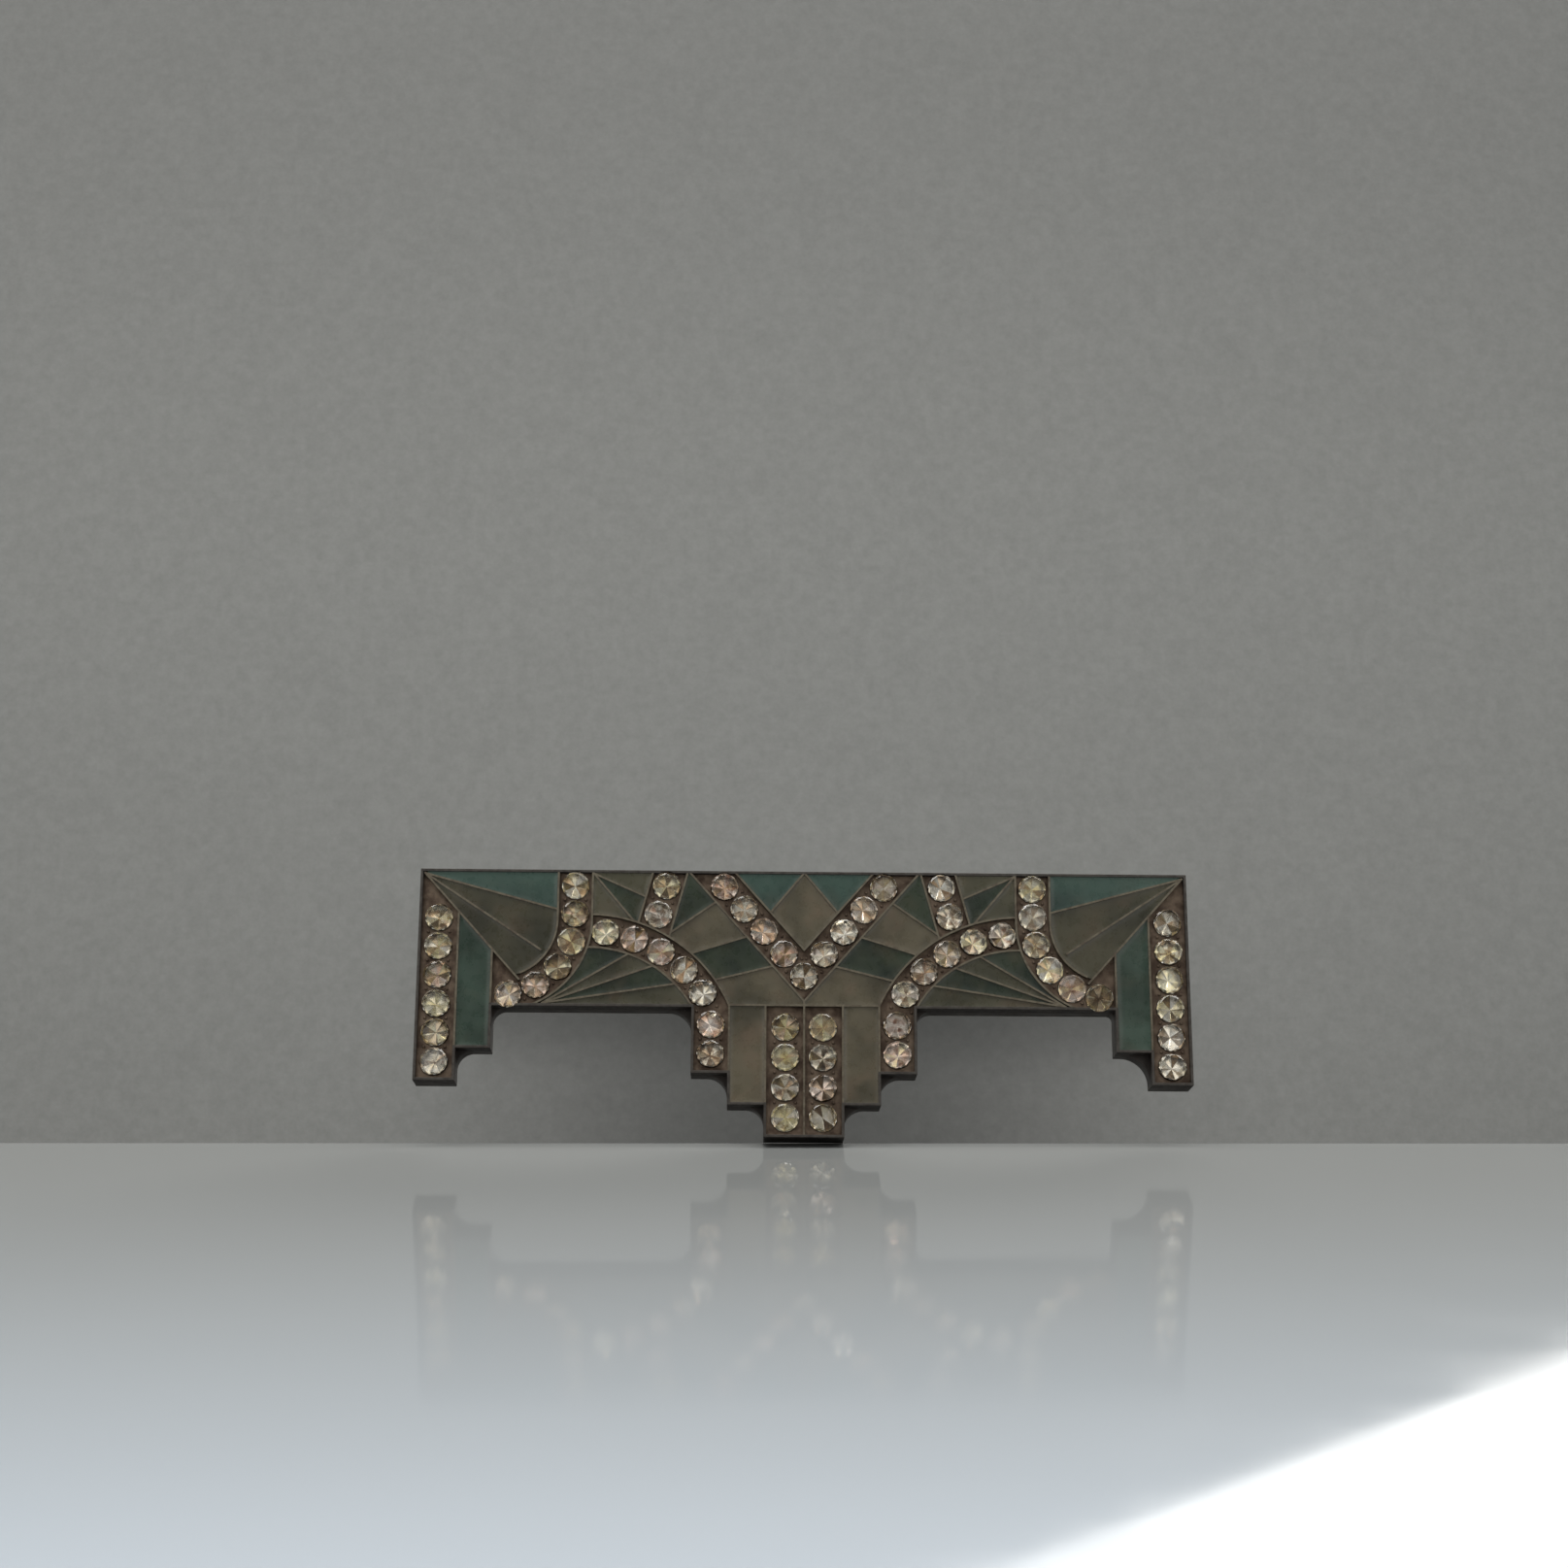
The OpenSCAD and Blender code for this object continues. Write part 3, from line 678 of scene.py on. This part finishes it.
def set_stones(node, materials, chance):
    """Cuts a stone in the place of each solid of a node, each a little askew."""
    bm = bmesh.new()
    for low, high in islands(node):
        nod, sway = (radians(chance.uniform(-TILT_DEG, TILT_DEG)) for _ in range(2))
        culet = Vector(((low.x + high.x) / 2, high.y, (low.z + high.z) / 2))
        girdle = Matrix.Translation(Vector((0, mm(CROWN) + low.y - high.y, 0)))
        lean = girdle @ Euler((nod, 0, sway)).to_matrix().to_4x4() @ girdle.inverted()
        cut_stone(bm, low, high, Matrix.Translation(culet) @ lean, chance)
    top = cad_box[0].y
    for vert in bm.verts:
        vert.co.y = max(vert.co.y, top)
    new_piece(node + "_cut", bm, [materials["glass"], *materials["foils"]], BODY_OF[node], node)


# --- grains between the stones ---

# A grain's radius, and its height as a share of its width.
GRAIN_R = 0.14
GRAIN_FLAT = 0.8
# Distance of a grain from the middle of its row, and how far its centre lies above the bed.
GRAIN_SIDE = 0.86
GRAIN_LIFT = 0.03
BED_TOP = -2.45
# Stones farther apart than this are not neighbours.
NEIGHBOURS = 3.2


def in_a_row(points):
    """Points put in order along their row, starting from the highest."""
    left = sorted(points, key=lambda p: (-p.z, p.x))
    row = [left.pop(0)]
    while left:
        left.sort(key=lambda p: (p - row[-1]).length)
        row.append(left.pop(0))
    return row


def raise_grains(name, centres, material):
    """Two small round grains of metal in every gap of a row of stones."""
    bm = bmesh.new()
    row = in_a_row(centres)
    for a, b in zip(row, row[1:]):
        if (b - a).length > mm(NEIGHBOURS):
            continue
        along = (b - a).normalized()
        across = Vector((-along.z, 0, along.x))
        for side in (-1, 1):
            spot = (a + b) / 2 + side * mm(GRAIN_SIDE) * across
            spot.y = mm(BED_TOP - GRAIN_LIFT)
            made = bmesh.ops.create_icosphere(bm, subdivisions=2, radius=mm(GRAIN_R))
            for vert in made["verts"]:
                vert.co = Vector((vert.co.x, vert.co.y * GRAIN_FLAT, vert.co.z)) + spot
    for face in bm.faces:
        face.smooth = True
    if bm.verts:
        new_piece(name, bm, [material], "setting")
    else:
        bm.free()


# --- stage ---

# Degrees that the brooch leans back from the table's upright and stands askew on it.
LEAN = 17.5
TABLE_ROLL = -0.38
# How far the table goes on behind the brooch's foot.
TABLE_BACK = 0.4
# The table's width, depth and thickness, the backdrop's halves and its distance, in metres.
TABLE_SIZE = (1.2, 0.9, 0.006)
TABLE_ROUND = 0.5
BACKDROP_HALF = (2.0, 1.6)
BACKDROP = 0.45
# How far in front of the foot the table's painted light has reached its lighter colour.
TABLE_PAINTED_LIGHT_FADE = -160
# The bar and the legs, which shape the painted shadow on the wall, and how far out that painted shadow
# reaches.
BAR_TOP = 4.5
BAR_FLOOR = -7.1
LEG_HALF = 32
PAINTED_SHADOW_HALF = 40
# Strength of the wide painted shadow, and strength and size of the closer painted shadow between the
# legs.
WIDE_PAINTED_SHADOW = 0.62
CLOSE_PAINTED_SHADOW = 0.4
CLOSE_SIDE = 8
CLOSE_DEPTH = 7
# Heights on the wall between which a painted shade makes it darker towards the top, in metres, and by how
# much.
HIGH_FROM, HIGH_TO = 0.18, 0.38
HIGH_PAINTED_SHADE = 0.24
BLACK = (0.0, 0.0, 0.0, 1.0)


def lean_up():
    """The turn from the brooch's frame to the table, on which it leans back and stands a little askew."""
    return Matrix.Rotation(radians(LEAN), 4, "X") @ Matrix.Rotation(radians(TABLE_ROLL), 4, "Y")


def on_table(across, back, up):
    """A point given by its distances across the table, behind the brooch's foot and above it."""
    return lean_up() @ Vector((mm(across), mm(back), mm(up))) + Vector((0, 0, cad_box[0].z))


def seen_behind(across, up):
    """Point of the backdrop that the camera sees behind a point at the brooch's front."""
    eye = bpy.context.scene.camera.location
    spot = Vector((mm(across), mm(FRONT), mm(up)))
    return eye + (BACKDROP - eye.y) / (spot.y - eye.y) * (spot - eye)


def wall_grey_with_painted_shade():
    """Plain grey wall, darker in a painted soft shadow of the brooch below and around it, and in a
    painted shade towards its top.
    """
    paint = Paint("wall_grey_with_painted_shade")
    middle = seen_behind(0, BAR_FLOOR).x
    leg_side = seen_behind(LEG_HALF, 0).x - middle
    inner_side = seen_behind(LEG_HALF - CLOSE_SIDE, 0).x - middle
    floor = seen_behind(0, BAR_FLOOR).z
    aside = paint.math("ABSOLUTE", paint.math("SUBTRACT", paint.axis("X"), middle), 0.0)
    height = paint.axis("Z")
    # Painted shadow of the brooch: a wide soft shade below the bar, and a closer, darker one between the
    # legs.
    wide = paint.span(aside, seen_behind(PAINTED_SHADOW_HALF, 0).x - middle, 0.0)
    below = paint.span(height, seen_behind(0, BAR_TOP).z, floor)
    between = paint.span(aside, leg_side, inner_side)
    close = paint.span(height, seen_behind(0, BAR_FLOOR - CLOSE_DEPTH).z, floor)
    pool = paint.math("MULTIPLY", paint.math("MULTIPLY", wide, below), WIDE_PAINTED_SHADOW)
    under = paint.math("MULTIPLY", below, CLOSE_PAINTED_SHADOW)
    edge = paint.math("MULTIPLY", paint.math("MULTIPLY", between, close), under)
    # Painted shade: the wall gets darker towards its top.
    high = paint.span(height, HIGH_FROM, HIGH_TO, 0.0, HIGH_PAINTED_SHADE)
    cloud = paint.noise(14.0, 4.0)
    duller = paint.mix(cloud, rgb(0.190, 0.193, 0.186), rgb(0.208, 0.211, 0.203))
    paler = paint.mix(cloud, rgb(0.282, 0.285, 0.276), rgb(0.302, 0.305, 0.296))
    plain = paint.mix(paint.noise(2.4, 3.0, 0.7), duller, paler)
    shaded = paint.mix(edge, paint.mix(pool, plain, BLACK), BLACK)
    paint.set(Base_Color=paint.mix(high, shaded, BLACK), Roughness=0.9)
    paint.bump(paint.noise(3.0, 4.0), 0.2, 0.3)
    return paint.material


def table_top():
    """Pale glossy table with painted light and shade: darker by the brooch's foot, a little bluer and
    lighter towards the viewer.
    """
    paint = Paint("table_top")
    # Painted light and shade: darker by the brooch's foot, lighter towards the viewer.
    painted_light_towards_viewer = paint.span(paint.axis("Y"), 0.0, mm(TABLE_PAINTED_LIGHT_FADE))
    paint.set(
        Base_Color=paint.mix(painted_light_towards_viewer, rgb(0.224, 0.231, 0.227), rgb(0.320, 0.351, 0.388)),
        Roughness=paint.span(paint.noise(9.0, 4.0), 0.3, 0.7, 0.04, 0.07),
        IOR=1.1,
    )
    return paint.material


def make_table():
    """Table that ends just behind the brooch, with its top under the brooch's foot."""
    wide, deep, thick = TABLE_SIZE
    foot = on_table(0, 0, 0)
    bm = bmesh.new()
    made = bmesh.ops.create_cube(bm, size=1.0)
    for vert in made["verts"]:
        back = vert.co.y * deep - deep / 2 + mm(TABLE_BACK)
        vert.co = Vector((vert.co.x * wide, back, (vert.co.z - 0.5) * thick))
        vert.co = lean_up() @ vert.co + foot
    bmesh.ops.bevel(bm, geom=bm.edges[:], offset=mm(TABLE_ROUND), segments=3, affect="EDGES")
    mesh = bpy.data.meshes.new("table")
    bm.to_mesh(mesh)
    bm.free()
    mesh.materials.append(table_top())
    return bpy.data.objects.new("table", mesh)


def make_backdrop():
    """Upright wall behind the brooch."""
    half_wide, half_high = BACKDROP_HALF
    bm = bmesh.new()
    bmesh.ops.create_grid(bm, x_segments=1, y_segments=1, size=1.0)
    for vert in bm.verts:
        vert.co = Vector((vert.co.x * half_wide, BACKDROP, vert.co.y * half_high))
    mesh = bpy.data.meshes.new("backdrop")
    bm.to_mesh(mesh)
    bm.free()
    mesh.materials.append(wall_grey_with_painted_shade())
    return bpy.data.objects.new("backdrop", mesh)


def make_stage():
    table = make_table()
    backdrop = make_backdrop()
    for thing in (table, backdrop):
        bpy.context.scene.collection.objects.link(thing)


def add_light(name, place, size, power, colour, aim=(0, 0, 0), spread=180):
    """A rectangular light at a place in metres, turned to a point, with its spread in degrees."""
    data = bpy.data.lights.new(name, "AREA")
    data.spread = radians(spread)
    data.shape = "RECTANGLE"
    data.size, data.size_y = size
    data.energy = power
    data.color = colour
    light = bpy.data.objects.new(name, data)
    light.location = place
    light.rotation_euler = (Vector(aim) - Vector(place)).to_track_quat("-Z", "Y").to_euler()
    bpy.context.scene.collection.objects.link(light)


def panel(name, azimuth, elevation, away, size, radiance, colour):
    """A light panel in front of the brooch, given by its direction and how bright it looks."""
    around, above = radians(azimuth), radians(elevation)
    place = away * Vector((sin(around) * cos(above), -cos(around) * cos(above), sin(above)))
    add_light(name, place, size, radiance * pi * size[0] * size[1], colour)


# Distance from the foot to the middle of the pool of light on the table, and the height of its light.
POOL_FRONT = -280
POOL_HEIGHT = 500


def make_lights():
    world = bpy.data.worlds.new("room")
    world.use_nodes = True
    bpy.context.scene.world = world
    sky = world.node_tree.nodes["Background"]
    sky.inputs["Color"].default_value = rgb(0.52, 0.53, 0.53)
    sky.inputs["Strength"].default_value = 0.4
    add_light("window", (-0.30, -0.45, 0.75), (0.5, 0.35), 2.7, (1.0, 0.99, 0.96))
    panel("left_panel", -37, 8, 0.7, (0.56, 0.62), 0.84, (1.0, 0.98, 0.93))
    panel("right_panel", 36, 4, 0.7, (0.56, 0.58), 0.80, (1.0, 0.97, 0.91))
    panel("top_panel", 4, 46, 0.8, (0.9, 0.3), 0.9, (0.96, 0.99, 1.0))
    pool = on_table(0, POOL_FRONT, 0)
    over_pool = on_table(0, POOL_FRONT, POOL_HEIGHT)
    add_light("table_pool", over_pool, (0.3, 0.3), 0.5, (0.97, 0.99, 1.0), pool, 35)
    add_light("back_fill", (0.15, 0.40, 0.35), (0.4, 0.3), 1.0, (1.0, 0.98, 0.95), spread=110)
    add_light("wall_wash", (0.0, -0.1, 0.9), (1.2, 0.3), 6.0, (1.0, 0.99, 0.96), (0, 0.45, -0.1))


def main():
    bpy.context.scene.view_settings.view_transform = "Standard"
    make_camera()
    chance = random.Random(SEED)
    materials = make_materials()
    finish_cad_nodes(materials)
    for node, slot in SLOT_OF.items():
        if slot.startswith("enamel"):
            cell = node.removesuffix("_left").removesuffix("_right")
            pour_enamel(node, materials[TINT_OF.get(cell, slot)])
    for node in [n for n, slot in SLOT_OF.items() if slot == "paste_glass"]:
        centres = [(low + high) / 2 for low, high in islands(node)]
        raise_grains(node.replace("stones", "grains"), centres, materials["bed_metal"])
        set_stones(node, materials, chance)
    for node in ("hinge_base", "catch_base"):
        run_solder(node, materials["solder"], chance)
    make_stage()
    make_lights()


main()
